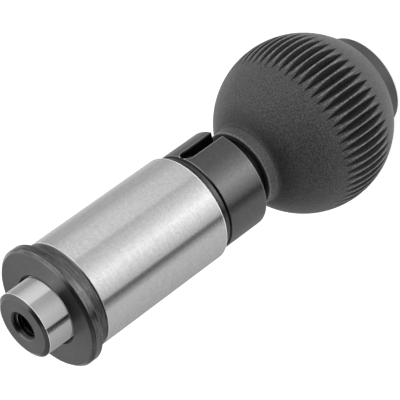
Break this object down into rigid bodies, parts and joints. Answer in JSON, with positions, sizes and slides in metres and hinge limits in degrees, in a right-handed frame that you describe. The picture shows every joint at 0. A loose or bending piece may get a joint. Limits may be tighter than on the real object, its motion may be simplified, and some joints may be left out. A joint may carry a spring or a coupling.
{
  "type": "indexing plunger",
  "caption": "Round flanged guide sleeve with a sprung steel indexing pin at the front and a black fluted ball grip at the back.",
  "frame": {"origin": "centre of the end cap's flat, on which the plunger stands", "axes": "+Z along the plunger's axis from the end cap to the pin's nose; +X through one of the two slots in the sleeve's rear neck"},
  "size_m": [0.032, 0.032, 0.0828],
  "materials": {
    "ground_steel": "ground",
    "spring_steel": "drawn wire",
    "plain_steel": "turned and blackened or zinc plated",
    "black_plastic": "fine spark-eroded texture"
  },
  "bodies": {
    "sleeve": {"guide_sleeve": "ground_steel", "rear_bush": "plain_steel", "retaining_ring": "spring_steel", "spring": "spring_steel"},
    "plunger": {"indexing_pin": "ground_steel", "cross_pin": "ground_steel", "knob": "black_plastic", "knob_insert": "plain_steel", "knob_washer": "plain_steel", "knob_nut": "plain_steel", "end_cap": "black_plastic"}
  },
  "joints": [
    {"name": "pull", "type": "slide", "parent": "sleeve", "child": "plunger", "axis": [0, 0, -1], "range_m": [0, 0.0085], "stiffness_N_per_m": 2600, "springref_m": -0.007, "deforming": ["spring"]}
  ]
}
